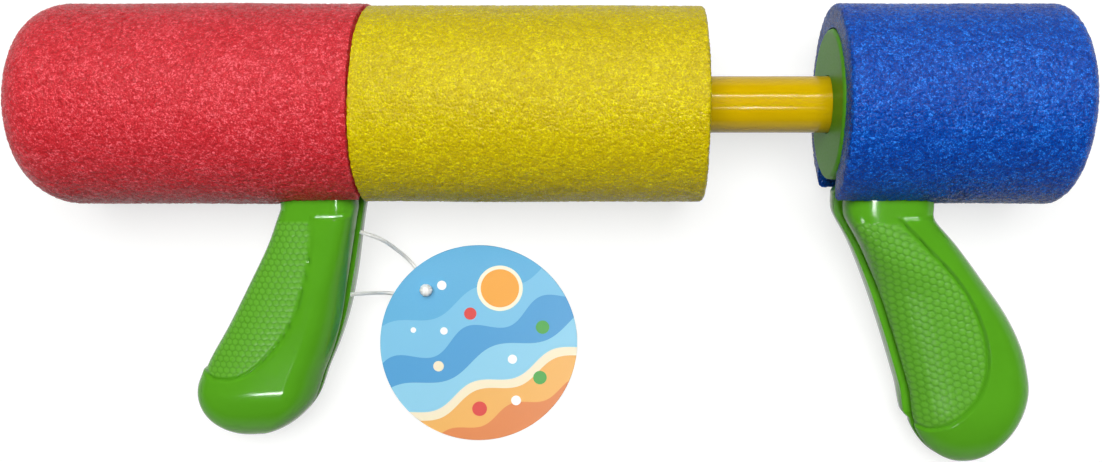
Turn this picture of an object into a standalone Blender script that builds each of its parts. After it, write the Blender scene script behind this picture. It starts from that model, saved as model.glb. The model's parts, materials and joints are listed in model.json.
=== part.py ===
# Pump-action foam water squirter, lying on its side with its hang tag beside it.
# Units are metres. The squirter is built in its own frame and then laid down by its root empty:
# +X runs along the barrel axis from nozzle to tail, the grips hang towards -Z,
# and -Y is the side that faces up once the squirter lies on the floor.

import bpy
import bmesh
import numpy as np
from math import acos, asin, atan2, cos, hypot, pi, radians, sin, sqrt
from mathutils import Matrix, Vector

# Foam sleeves
FOAM_OUTER = 0.060            # red and blue sleeves
YELLOW_STEP = 0.0006          # yellow sleeve's surface below the others
RED_LENGTH = 0.0992
YELLOW_LENGTH = 0.1007
BLUE_LENGTH = 0.07135
PULLED_OUT = 0.03795          # yellow end to blue end, with the plunger part way out
NOSE_ROUND_LENGTH = 0.014
NOSE_ROUND_DEPTH = 0.013
TAIL_ROUND_LENGTH = 0.0065
TAIL_ROUND_DEPTH = 0.013
CUT_EDGE_ROUND = 0.0015       # softened edge of a cut foam end
NOSE_WALL = 0.014
TAIL_WALL = 0.011

# Barrel
TUBE_OUTER = 0.035
TUBE_WALL = 0.0025
SPOUT_OUTER = 0.016
SPOUT_RECESS = 0.0006         # spout face behind the foam nose
JET_BORE = 0.003
CAP_FLANGE = 0.003            # flange thickness of nozzle, tail guide and tail plug
CAP_WALL = 0.0025
NOZZLE_SPIGOT = 0.010
GUIDE_SPIGOT = 0.016
GUIDE_RECESS = 0.001          # tail guide behind the yellow foam end
GASKET_THICKNESS = 0.001

# Plunger
ROD_OUTER = 0.017
ROD_WALL = 0.0022
PISTON_LENGTH = 0.016
PISTON_STEM = 0.008
RING_SECTION = 0.0034
FLANGE_OUTER = 0.045
FLANGE_THICKNESS = 0.0032
FLANGE_PROUD = 0.0007         # flange face in front of the blue foam end
FLANGE_ROUND = 0.0012
SOCKET_WALL = 0.0024
WEB_THICKNESS = 0.003
HEAD_ROOM = 0.009             # behind the rod socket's web, for the screw head
PLUG_LENGTH = 0.014
PLUG_COLLAR = 0.003
TAIL_BOSS = 0.022
TAIL_RECESS = 0.0008
END_STOP = 0.001              # play left at both ends of the stroke

# Grips
GRIP_HALF = 0.012             # half the thickness of a grip
GRIP_WALL = 0.0022
GRIP_SQUARENESS = 3.0         # exponent of the rounded cross-section
COLLAR_WALL = 0.0025
FRONT_NECK = 0.0237           # length of the neck along the barrel
REAR_NECK = 0.0280
FRONT_NECK_INSET = 0.0029     # neck's back edge ahead of the red foam's cut end
REAR_NECK_INSET = 0.00375     # neck's front edge behind the blue foam's cut end
SPLIT = 0.0003                # parting gap between two grip halves

# Ribs run down each grip: (leading edge from the neck's front, its drop below the foam,
# trailing edge from the neck's back, its drop). The tip closes the last rib with a dome.
FRONT_RIBS = [(0.0, 0.0005, 0.0, 0.0005), (-0.0012, 0.0035, -0.0007, 0.004),
              (-0.0047, 0.012, -0.0024, 0.013), (-0.0110, 0.024, -0.0044, 0.024),
              (-0.0178, 0.0365, -0.0065, 0.035), (-0.0244, 0.0475, -0.0094, 0.045),
              (-0.0288, 0.057, -0.0136, 0.0550)]
FRONT_TIP = (-0.0118, 0.0742)
REAR_RIBS = [(0.0, 0.0005, 0.0, 0.0005), (0.001, 0.0045, 0.0008, 0.0045),
             (0.0063, 0.0137, 0.0080, 0.0125), (0.0118, 0.026, 0.0172, 0.0240),
             (0.0166, 0.0388, 0.0252, 0.0350), (0.0206, 0.0505, 0.0308, 0.0460),
             (0.0240, 0.061, 0.0338, 0.0575)]
REAR_TIP = (0.0432, 0.0836)

# Screws: the grips have three each, placed from the neck's front and below the foam
FRONT_SCREWS = [(0.0085, 0.012), (-0.0005, 0.035), (-0.009, 0.057)]
REAR_SCREWS = [(0.0205, 0.012), (0.034, 0.035), (0.042, 0.060)]
SCREW_HEAD = 0.0058
SCREW_HEAD_HEIGHT = 0.0022
SCREW_HEAD_ROUND = 0.0008     # bevel round the top of a head
SCREW_SHANK = 0.0029
SCREW_LENGTH = 0.013
SCREW_SEAT = 0.006            # underside of the head above the parting plane
BOSS_WALL = 0.0016
AXIS_SCREW_HEAD = 0.007
AXIS_SCREW_LENGTH = 0.013
WASHER_OUTER = 0.014
WASHER_THICKNESS = 0.0012

# Hang tag and its loop. Plan positions are (along the barrel, away from its axis).
TAG_RADIUS = 0.0319
TAG_THICKNESS = 0.0006
TAG_HOLE = 0.0034
TAG_HOLE_INSET = 0.0076       # hole centre from the tag's rim
TAG_CENTRE = (-0.0247, -0.0744)
TAG_HOLE_TURN = radians(133.8)  # direction from the tag's centre to its hole
TAG_LIFT = radians(4.0)       # the loop props the hole's side up
BEAD_RADIUS = 0.0021
BEAD_FLAT = 0.0004            # depth of the flat that the bead sits on
LOOP_DIAMETER = 0.0012
LOOP_STEP = 0.003             # spacing of points along the loop
LOOP_DROPS = (0.0090, 0.0288)  # where the loop's ends meet the front grip's back seam
# The loop's way between its ends, under the tag: plan position and height above the floor
LOOP_ROUTE = [(-0.0538, -0.0405, 0.0178), (-0.0503, -0.0438, 0.0102), (-0.0473, -0.0473, 0.0047),
              (-0.0442, -0.0515, 0.0028), (-0.0417, -0.0555, 0.0025), (-0.0415, -0.0585, 0.0024),
              (-0.0440, -0.0602, 0.0024), (-0.0480, -0.0595, 0.0024), (-0.0522, -0.0584, 0.0030),
              (-0.0556, -0.0579, 0.0068), (-0.0582, -0.0577, 0.0122)]

# Clearances
SEAT_GAP = 0.0003             # between pieces that touch
RUNNING_GAP = 0.0004          # around pieces that move

# Facets
SLEEVE_STEPS = 32
TURN_STEPS = 20
TAG_STEPS = 40
SCREW_STEPS = 10
RING_STEPS = 8
ROUND_STEPS = 5
SECTION_STEPS = 10
RIB_STEPS = 2
DOME_STEPS = 5
ROUTE_STEPS = 12
BEVEL_STEPS = 2
SHARP_ANGLE = radians(35)     # edges sharper than this are not smoothed
MERGE = 1e-6                  # corners closer than this are one

# Stations along the barrel axis
NOSE_X = -(RED_LENGTH + SEAT_GAP + YELLOW_LENGTH + PULLED_OUT + BLUE_LENGTH) / 2
SEAM_X = NOSE_X + RED_LENGTH
YELLOW_X = SEAM_X + SEAT_GAP
YELLOW_END = YELLOW_X + YELLOW_LENGTH
BLUE_X = YELLOW_END + PULLED_OUT
TAIL_X = BLUE_X + BLUE_LENGTH
NOZZLE_X = NOSE_X + NOSE_WALL + SEAT_GAP
GASKET_X = NOZZLE_X + CAP_FLANGE + SEAT_GAP
TUBE_X = GASKET_X + GASKET_THICKNESS + SEAT_GAP
SPIGOT_END = NOZZLE_X + CAP_FLANGE + NOZZLE_SPIGOT
GUIDE_END = YELLOW_END - GUIDE_RECESS
GUIDE_X = GUIDE_END - CAP_FLANGE
TUBE_END = GUIDE_X - SEAT_GAP
FLANGE_X = BLUE_X - FLANGE_PROUD
FLANGE_BACK = FLANGE_X + FLANGE_THICKNESS
PUSH_TRAVEL = FLANGE_X - YELLOW_END - END_STOP
PISTON_X = SPIGOT_END + END_STOP + PUSH_TRAVEL
PISTON_END = PISTON_X + PISTON_LENGTH
PULL_TRAVEL = GUIDE_X - GUIDE_SPIGOT - PISTON_END - END_STOP
STEM_X = PISTON_X - SEAT_GAP
COLLAR_X = PISTON_END + SEAT_GAP
ROD_X = COLLAR_X + PLUG_COLLAR + SEAT_GAP
TAIL_DISC_X = TAIL_X - TAIL_WALL - SEAT_GAP - CAP_FLANGE
CORE_END = TAIL_DISC_X - SEAT_GAP
WEB_X = TAIL_DISC_X - CAP_FLANGE - HEAD_ROOM - WEB_THICKNESS
ROD_END = WEB_X - SEAT_GAP - PLUG_COLLAR - SEAT_GAP
FRONT_NECK_X = SEAM_X - FRONT_NECK_INSET - FRONT_NECK
REAR_NECK_X = BLUE_X + REAR_NECK_INSET

# Radii shared by mating pieces
FOAM_RADIUS = FOAM_OUTER / 2
TUBE_RADIUS = TUBE_OUTER / 2
TUBE_BORE = TUBE_RADIUS - TUBE_WALL
SPIGOT_RADIUS = TUBE_BORE - SEAT_GAP
FOAM_BORE = TUBE_RADIUS + SEAT_GAP
COLLAR_INNER = TUBE_RADIUS + SEAT_GAP
COLLAR_OUTER = COLLAR_INNER + COLLAR_WALL
COLLAR_POCKET = COLLAR_OUTER + SEAT_GAP
ROD_RADIUS = ROD_OUTER / 2
ROD_BORE = ROD_RADIUS - ROD_WALL
PLUG_RADIUS = ROD_BORE - SEAT_GAP
PILOT_RADIUS = SCREW_SHANK / 2 + SEAT_GAP
SOCKET_BORE = ROD_RADIUS + SEAT_GAP
SOCKET_RADIUS = SOCKET_BORE + SOCKET_WALL


def clear_scene():
    for thing in list(bpy.data.objects):
        bpy.data.objects.remove(thing, do_unlink=True)


def linear(channel):
    return channel / 12.92 if channel <= 0.04045 else ((channel + 0.055) / 1.055) ** 2.4


def material(name, hex_colour, roughness, metallic=0.0):
    made = bpy.data.materials.new(name)
    made.use_nodes = True
    shader = made.node_tree.nodes["Principled BSDF"]
    rgb = [linear(int(hex_colour[i:i + 2], 16) / 255) for i in (0, 2, 4)]
    shader.inputs["Base Color"].default_value = (*rgb, 1.0)
    shader.inputs["Roughness"].default_value = roughness
    shader.inputs["Metallic"].default_value = metallic
    made.diffuse_color = (*rgb, 1.0)
    return made


def empty(name, parent=None):
    made = bpy.data.objects.new(name, None)
    bpy.context.collection.objects.link(made)
    made.parent = parent
    return made


def mesh_from(name, shape):
    bmesh.ops.recalc_face_normals(shape, faces=shape.faces)
    mesh = bpy.data.meshes.new(name)
    shape.to_mesh(mesh)
    shape.free()
    mesh.shade_smooth()
    mesh.set_sharp_from_angle(angle=SHARP_ANGLE)
    return mesh


def piece(name, mesh, finish, parent, location=(0, 0, 0), turn=(0, 0, 0)):
    made = bpy.data.objects.new(name, mesh)
    made.data.materials.append(finish)
    bpy.context.collection.objects.link(made)
    made.parent = parent
    made.location = location
    made.rotation_euler = turn
    return made


def change(target, mesh, operation):
    # joins or cuts the target with a helper that is not a piece of its own
    helper = bpy.data.objects.new(target.name + "_" + operation.lower(), mesh)
    bpy.context.collection.objects.link(helper)
    helper.parent = target.parent
    helper.location = target.location
    helper.hide_render = True
    helper.display_type = "WIRE"
    step = target.modifiers.new(operation.lower(), "BOOLEAN")
    step.operation = operation
    step.object = helper


def turn_profile(shape, profile, steps, closed, axis=(1, 0, 0), centre=(0, 0, 0)):
    # spins (along the axis, radius) points about the axis through the centre
    along = Vector(axis)
    side = Vector((0, 0, 1))
    corners = [shape.verts.new(Vector(centre) + along * x + side * r) for x, r in profile]
    pairs = list(zip(corners, corners[1:]))
    if closed:
        pairs.append((corners[-1], corners[0]))
    edges = [shape.edges.new(pair) for pair in pairs]
    bmesh.ops.spin(shape, geom=corners + edges, cent=centre, axis=axis, dvec=(0, 0, 0),
                   angle=2 * pi, steps=steps, use_merge=True, use_duplicate=False)
    bmesh.ops.remove_doubles(shape, verts=shape.verts, dist=MERGE)


def turned(name, profile, steps=TURN_STEPS, closed=True):
    # a piece of revolution about the barrel axis; an open profile starts and ends on the axis
    shape = bmesh.new()
    turn_profile(shape, profile, steps, closed)
    return mesh_from(name, shape)


def rounded(x_flat, x_side, r_flat, r_side):
    # quarter ellipse from a flat end at x_flat to the side wall at r_side
    angles = [pi / 2 * i / ROUND_STEPS for i in range(ROUND_STEPS + 1)]
    return [(x_side + (x_flat - x_side) * cos(a), r_flat + (r_side - r_flat) * sin(a)) for a in angles]


def through(points, steps):
    # smooth curve through the points, with the given steps between two of them
    points = [np.array(p, dtype=float) for p in points]
    tangents = [(points[min(i + 1, len(points) - 1)] - points[max(i - 1, 0)]) / 2
                for i in range(len(points))]
    curve = []
    for start, end, go, come in zip(points, points[1:], tangents, tangents[1:]):
        for i in range(steps):
            t = i / steps
            curve.append(start * (1 - t) ** 2 * (1 + 2 * t) + end * t ** 2 * (3 - 2 * t)
                         + go * t * (1 - t) ** 2 - come * t ** 2 * (1 - t))
    return curve + [points[-1]]


def red_foam(finish, parent):
    front = rounded(0, NOSE_ROUND_LENGTH, FOAM_RADIUS - NOSE_ROUND_DEPTH, FOAM_RADIUS)
    back = rounded(RED_LENGTH, RED_LENGTH - CUT_EDGE_ROUND, FOAM_RADIUS - CUT_EDGE_ROUND, FOAM_RADIUS)
    pocket = FRONT_NECK_X - SEAT_GAP - NOSE_X
    spout_hole = SPOUT_OUTER / 2 + SEAT_GAP
    bore = [(RED_LENGTH, COLLAR_POCKET), (pocket, COLLAR_POCKET), (pocket, FOAM_BORE),
            (NOSE_WALL, FOAM_BORE), (NOSE_WALL, spout_hole), (0, spout_hole)]
    mesh = turned("red_foam_sleeve", front + back[::-1] + bore, SLEEVE_STEPS)
    sleeve = piece("red_foam_sleeve", mesh, finish, parent, (NOSE_X, 0, 0))
    slot = neck_slot("front_neck_slot", FRONT_NECK_X - NOSE_X, FRONT_NECK, -1)
    change(sleeve, slot, "DIFFERENCE")


def yellow_foam(finish, parent):
    radius = FOAM_RADIUS - YELLOW_STEP
    front = rounded(0, CUT_EDGE_ROUND, radius - CUT_EDGE_ROUND, radius)
    back = rounded(YELLOW_LENGTH, YELLOW_LENGTH - CUT_EDGE_ROUND, radius - CUT_EDGE_ROUND, radius)
    bore = [(YELLOW_LENGTH, FOAM_BORE), (0, FOAM_BORE)]
    mesh = turned("yellow_foam_sleeve", front + back[::-1] + bore, SLEEVE_STEPS)
    piece("yellow_foam_sleeve", mesh, finish, parent, (YELLOW_X, 0, 0))


def blue_foam(finish, parent):
    front = rounded(0, CUT_EDGE_ROUND, FOAM_RADIUS - CUT_EDGE_ROUND, FOAM_RADIUS)
    back = rounded(BLUE_LENGTH, BLUE_LENGTH - TAIL_ROUND_LENGTH, FOAM_RADIUS - TAIL_ROUND_DEPTH, FOAM_RADIUS)
    pocket = REAR_NECK_X + REAR_NECK + SEAT_GAP - BLUE_X
    flange_pocket = FLANGE_OUTER / 2 + SEAT_GAP
    flange_depth = FLANGE_BACK + SEAT_GAP - BLUE_X
    wall = BLUE_LENGTH - TAIL_WALL
    boss_hole = TAIL_BOSS / 2 + SEAT_GAP
    bore = [(BLUE_LENGTH, boss_hole), (wall, boss_hole), (wall, FOAM_BORE), (pocket, FOAM_BORE),
            (pocket, COLLAR_POCKET), (flange_depth, COLLAR_POCKET), (flange_depth, flange_pocket),
            (0, flange_pocket)]
    mesh = turned("blue_foam_sleeve", front + back[::-1] + bore, SLEEVE_STEPS)
    sleeve = piece("blue_foam_sleeve", mesh, finish, parent, (BLUE_X, 0, 0))
    slot = neck_slot("rear_neck_slot", REAR_NECK_X - BLUE_X, REAR_NECK, 1)
    change(sleeve, slot, "DIFFERENCE")


def neck_slot(name, x, length, closed):
    # cutter for a neck: its rounded section with clearance, closed towards one end (-1 front, 1 back)
    # and run out past the foam's cut end at the other
    shape = bmesh.new()
    middle = x + length / 2
    half = length / 2 + SEAT_GAP
    width = GRIP_HALF + SEAT_GAP
    outline = []
    for i in range(SECTION_STEPS + 1):
        across, thick = section_point(pi * i / SECTION_STEPS - pi / 2)
        outline.append((middle + closed * half * across, width * thick))
    run_out = middle - closed * length
    outline += [(run_out, width), (run_out, -width)]
    levels = (-COLLAR_INNER / 2, -FOAM_OUTER)
    rings = [[shape.verts.new((px, py, z)) for px, py in outline] for z in levels]
    count = len(outline)
    for i in range(count):
        j = (i + 1) % count
        shape.faces.new((rings[0][i], rings[0][j], rings[1][j], rings[1][i]))
    shape.faces.new(rings[0])
    shape.faces.new(rings[1])
    return mesh_from(name, shape)


def barrel_pieces(pale_plastic, green, rubber, parent):
    length = TUBE_END - TUBE_X
    tube = [(0, TUBE_RADIUS), (length, TUBE_RADIUS), (length, TUBE_BORE), (0, TUBE_BORE)]
    piece("barrel_tube", turned("barrel_tube", tube, SLEEVE_STEPS), pale_plastic, parent, (TUBE_X, 0, 0))

    face = NOSE_X + SPOUT_RECESS - NOZZLE_X
    end = SPIGOT_END - NOZZLE_X
    spout = SPOUT_OUTER / 2
    jet = JET_BORE / 2
    cup = SPIGOT_RADIUS - CAP_WALL
    nozzle = [(face, jet), (face, spout), (0, spout), (0, TUBE_RADIUS), (CAP_FLANGE, TUBE_RADIUS),
              (CAP_FLANGE, SPIGOT_RADIUS), (end, SPIGOT_RADIUS), (end, cup), (CAP_FLANGE, cup), (0, jet)]
    piece("nozzle_insert", turned("nozzle_insert", nozzle), green, parent, (NOZZLE_X, 0, 0))

    gasket_hole = SPIGOT_RADIUS + SEAT_GAP
    gasket = [(0, gasket_hole), (0, TUBE_RADIUS), (GASKET_THICKNESS, TUBE_RADIUS),
              (GASKET_THICKNESS, gasket_hole)]
    piece("nozzle_gasket", turned("nozzle_gasket", gasket), rubber, parent, (GASKET_X, 0, 0))

    hole = ROD_RADIUS + RUNNING_GAP
    guide = [(-GUIDE_SPIGOT, hole), (-GUIDE_SPIGOT, SPIGOT_RADIUS), (0, SPIGOT_RADIUS),
             (0, TUBE_RADIUS), (CAP_FLANGE, TUBE_RADIUS), (CAP_FLANGE, hole)]
    piece("tail_guide", turned("tail_guide", guide), green, parent, (GUIDE_X, 0, 0))


def piston_pieces(green, rubber, parent):
    radius = TUBE_BORE - RUNNING_GAP
    groove = radius - RING_SECTION + RUNNING_GAP / 2
    middle = PISTON_LENGTH / 2
    half = RING_SECTION / 2 + SEAT_GAP
    stem_hole = PISTON_STEM / 2 + SEAT_GAP
    body = [(0, stem_hole), (0, radius), (middle - half, radius), (middle - half, groove),
            (middle + half, groove), (middle + half, radius), (PISTON_LENGTH, radius),
            (PISTON_LENGTH, stem_hole)]
    piece("piston", turned("piston", body, SLEEVE_STEPS), green, parent, (PISTON_X, 0, 0))

    ring_radius = RING_SECTION / 2 - SEAT_GAP / 2
    ring_middle = TUBE_BORE - RUNNING_GAP / 2 - ring_radius
    circle = [(ring_radius * cos(a), ring_middle + ring_radius * sin(a))
              for a in (2 * pi * i / RING_STEPS for i in range(RING_STEPS))]
    ring = turned("piston_o_ring", circle, SLEEVE_STEPS)
    piece("piston_o_ring", ring, rubber, parent, (PISTON_X + middle, 0, 0))


def screw(name, head, length, finish, parent, location, turn=(0, 0, 0)):
    # unturned, its head faces -X, seats at the location and its shank runs to +X
    shank = SCREW_SHANK / 2
    top = -SCREW_HEAD_HEIGHT
    profile = [(top, 0), (top, head / 2 - SCREW_HEAD_ROUND), (top + SCREW_HEAD_ROUND, head / 2),
               (0, head / 2), (0, shank), (length, shank), (length, 0)]
    piece(name, turned(name, profile, SCREW_STEPS, False), finish, parent, location, turn)


def rod_pieces(yellow_plastic, green, steel, parent):
    length = ROD_END - ROD_X
    rod = [(0, ROD_RADIUS), (length, ROD_RADIUS), (length, ROD_BORE), (0, ROD_BORE)]
    piece("plunger_rod", turned("plunger_rod", rod, SLEEVE_STEPS), yellow_plastic, parent, (ROD_X, 0, 0))

    stem = STEM_X - COLLAR_X
    collar = PLUG_COLLAR
    end = PLUG_COLLAR + SEAT_GAP + PLUG_LENGTH
    front = [(stem, PILOT_RADIUS), (stem, PISTON_STEM / 2), (0, PISTON_STEM / 2), (0, ROD_RADIUS),
             (collar, ROD_RADIUS), (collar, PLUG_RADIUS), (end, PLUG_RADIUS), (end, PILOT_RADIUS)]
    piece("rod_front_plug", turned("rod_front_plug", front), green, parent, (COLLAR_X, 0, 0))

    washer_x = STEM_X - SEAT_GAP - WASHER_THICKNESS
    washer = [(0, PILOT_RADIUS), (0, WASHER_OUTER / 2), (WASHER_THICKNESS, WASHER_OUTER / 2),
              (WASHER_THICKNESS, PILOT_RADIUS)]
    piece("piston_washer", turned("piston_washer", washer), steel, parent, (washer_x, 0, 0))
    screw("piston_screw", AXIS_SCREW_HEAD, AXIS_SCREW_LENGTH, steel, parent, (washer_x - SEAT_GAP, 0, 0))

    back_collar = WEB_X - SEAT_GAP - PLUG_COLLAR
    start = -SEAT_GAP - PLUG_LENGTH
    back = [(start, PILOT_RADIUS), (start, PLUG_RADIUS), (0, PLUG_RADIUS), (0, ROD_RADIUS),
            (collar, ROD_RADIUS), (collar, PILOT_RADIUS)]
    piece("rod_rear_plug", turned("rod_rear_plug", back), green, parent, (back_collar, 0, 0))
    seat = (WEB_X + WEB_THICKNESS + SEAT_GAP, 0, 0)
    screw("core_screw", AXIS_SCREW_HEAD, AXIS_SCREW_LENGTH, steel, parent, seat, (0, 0, pi))


def rear_pieces(green, parent):
    rim = FLANGE_OUTER / 2
    bend = rounded(0, FLANGE_ROUND, rim - FLANGE_ROUND, rim)
    sleeve = TUBE_RADIUS - TUBE_WALL
    end = CORE_END - FLANGE_X
    web = WEB_X - FLANGE_X
    floor = FLANGE_THICKNESS + CAP_FLANGE
    core = [(0, SOCKET_BORE)] + bend + [
        (FLANGE_THICKNESS, rim), (FLANGE_THICKNESS, TUBE_RADIUS), (end, TUBE_RADIUS), (end, sleeve),
        (floor, sleeve), (floor, SOCKET_RADIUS), (web + WEB_THICKNESS, SOCKET_RADIUS),
        (web + WEB_THICKNESS, PILOT_RADIUS), (web, PILOT_RADIUS), (web, SOCKET_BORE)]
    piece("rear_core", turned("rear_core", core, SLEEVE_STEPS), green, parent, (FLANGE_X, 0, 0))

    face = TAIL_X - TAIL_RECESS - TAIL_DISC_X
    boss = TAIL_BOSS / 2
    spigot = sleeve - SEAT_GAP
    plug = [(-CAP_FLANGE, 0), (-CAP_FLANGE, spigot), (0, spigot), (0, TUBE_RADIUS), (CAP_FLANGE, TUBE_RADIUS),
            (CAP_FLANGE, boss), (face, boss), (face, 0)]
    piece("tail_plug", turned("tail_plug", plug, closed=False), green, parent, (TAIL_DISC_X, 0, 0))


def section_point(angle):
    # a rounded section: across the grip from -1 to 1, and its thickness from -1 to 1
    power = 2 / GRIP_SQUARENESS
    across = cos(angle)
    thick = sin(angle)
    return (-abs(across) ** power if across < 0 else abs(across) ** power,
            -abs(thick) ** power if thick < 0 else abs(thick) ** power)


def grip_rings(ribs, tip, neck, inset, side):
    # one half of the grip's skin, as rings from the collar to the tip
    split = SPLIT / 2
    rows = through(ribs, RIB_STEPS)
    frames = []
    for lead_x, lead_drop, trail_x, trail_drop in rows:
        lead = Vector((lead_x, FOAM_RADIUS + lead_drop))
        trail = Vector((neck + trail_x, FOAM_RADIUS + trail_drop))
        half = (trail - lead) / 2
        frames.append(((lead + trail) / 2, half * (1 - inset / half.length), 1.0))
    middle, half, _ = frames[-1]
    reach = Vector((tip[0], FOAM_RADIUS + tip[1])) - middle
    reach *= 1 - inset / reach.length
    for i in range(1, DOME_STEPS + 1):
        angle = pi / 2 * i / DOME_STEPS
        frames.append((middle + reach * sin(angle), half * cos(angle), cos(angle)))
    angles = [pi * i / SECTION_STEPS for i in range(SECTION_STEPS + 1)]
    rings = []
    for centre, across, swell in frames:
        ring = []
        for angle in angles:
            run, thick = section_point(angle)
            place = centre - across * run
            y = split + (GRIP_HALF - inset - split) * swell * abs(thick)
            ring.append(Vector((place.x, side * y, -place.y)))
        rings.append(ring)
    seat = (COLLAR_INNER + COLLAR_OUTER) / 2
    top = [Vector((p.x, p.y, -sqrt(seat ** 2 - p.y ** 2))) for p in rings[0]]
    return [top] + rings


def grip_half_mesh(name, ribs, tip, neck, side):
    shape = bmesh.new()
    outer = grip_rings(ribs, tip, neck, 0.0, side)
    inner = grip_rings(ribs, tip, neck, GRIP_WALL, side)
    loops = [[shape.verts.new(p) for p in out + into[::-1]] for out, into in zip(outer, inner)]
    count = len(loops[0])
    for upper, lower in zip(loops, loops[1:]):
        for i in range(count):
            j = (i + 1) % count
            shape.faces.new((upper[i], upper[j], lower[j], lower[i]))
    top = loops[0]
    for i in range(SECTION_STEPS):
        shape.faces.new((top[i], top[i + 1], top[count - 2 - i], top[count - 1 - i]))
    bmesh.ops.remove_doubles(shape, verts=shape.verts, dist=MERGE)
    bmesh.ops.dissolve_degenerate(shape, edges=shape.edges, dist=MERGE)
    return mesh_from(name, shape)


def half_collar(shape, length, side):
    start = asin(SPLIT / 2 / COLLAR_INNER)
    steps = SLEEVE_STEPS // 2
    loops = []
    for i in range(steps + 1):
        angle = start + (pi - 2 * start) * i / steps
        loops.append([shape.verts.new((x, side * r * sin(angle), r * cos(angle)))
                      for x, r in ((0, COLLAR_INNER), (length, COLLAR_INNER),
                                   (length, COLLAR_OUTER), (0, COLLAR_OUTER))])
    count = len(loops[0])
    for near, far in zip(loops, loops[1:]):
        for i in range(count):
            j = (i + 1) % count
            shape.faces.new((near[i], near[j], far[j], far[i]))
    shape.faces.new(loops[0])
    shape.faces.new(loops[-1])


def grip_half(name, ribs, tip, neck, screws, side, finish, parent, x):
    half = piece(name, grip_half_mesh(name, ribs, tip, neck, side), finish, parent, (x, 0, 0))
    collar = bmesh.new()
    half_collar(collar, neck, side)
    change(half, mesh_from(name + "_collar", collar), "UNION")

    # the head's half is drilled through and sunk, the other half takes the thread
    head_side = side > 0
    bore = SCREW_SHANK / 2 + SEAT_GAP
    sink = SCREW_HEAD / 2 + SEAT_GAP
    radius = (sink if head_side else bore) + BOSS_WALL
    start = SPLIT / 2
    depth = GRIP_HALF - GRIP_WALL / 2
    blind = SCREW_LENGTH - SCREW_SEAT + SEAT_GAP
    bosses = bmesh.new()
    holes = bmesh.new()
    for along, drop in screws:
        centre = (along, 0, -FOAM_RADIUS - drop)
        axis = (0, side, 0)
        turn_profile(bosses, [(start, 0), (start, radius), (depth, radius), (depth, 0)],
                     SCREW_STEPS, False, axis, centre)
        if head_side:
            seat = SCREW_SEAT - SEAT_GAP
            hole = [(-SPLIT, 0), (-SPLIT, bore), (seat, bore), (seat, sink), (2 * GRIP_HALF, sink),
                    (2 * GRIP_HALF, 0)]
        else:
            hole = [(-SPLIT, 0), (-SPLIT, bore), (blind, bore), (blind, 0)]
        turn_profile(holes, hole, SCREW_STEPS, False, axis, centre)
    change(half, mesh_from(name + "_bosses", bosses), "UNION")
    change(half, mesh_from(name + "_holes", holes), "DIFFERENCE")
    return half


def grip(end, ribs, tip, neck, screws, x, green, steel, parent):
    grip_half(end + "_grip_left", ribs, tip, neck, screws, -1, green, parent, x)
    right = grip_half(end + "_grip_right", ribs, tip, neck, screws, 1, green, parent, x)
    for number, (along, drop) in enumerate(screws, 1):
        place = (x + along, SCREW_SEAT, -FOAM_RADIUS - drop)
        name = f"{end}_grip_screw_{number}"
        screw(name, SCREW_HEAD, SCREW_LENGTH, steel, parent, place, (0, 0, -pi / 2))
    return right


def roll_to_floor(halves):
    # how far the squirter rolls before a grip tip meets the floor that the foam lies on
    rolls = []
    for half in halves:
        for corner in half.data.vertices:
            out = hypot(corner.co.y, corner.co.z)
            if out > FOAM_RADIUS:
                rolls.append(atan2(-corner.co.z, corner.co.y) - acos(FOAM_RADIUS / out))
    return min(rolls)


def rest_on_origin(root, roll, nodes):
    # lays the squirter down with the middle of its base at the world origin
    root.rotation_euler = (roll - pi / 2, 0, 0)
    bpy.context.view_layer.update()
    scene_state = bpy.context.evaluated_depsgraph_get()
    low = np.full(3, np.inf)
    high = np.full(3, -np.inf)
    for node in nodes:
        seen = node.evaluated_get(scene_state)
        corners = np.array([seen.matrix_world @ v.co for v in seen.to_mesh().vertices])
        low = np.minimum(low, corners.min(axis=0))
        high = np.maximum(high, corners.max(axis=0))
        seen.to_mesh_clear()
    root.location = (-(low[0] + high[0]) / 2, -(low[1] + high[1]) / 2, -low[2])


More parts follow.
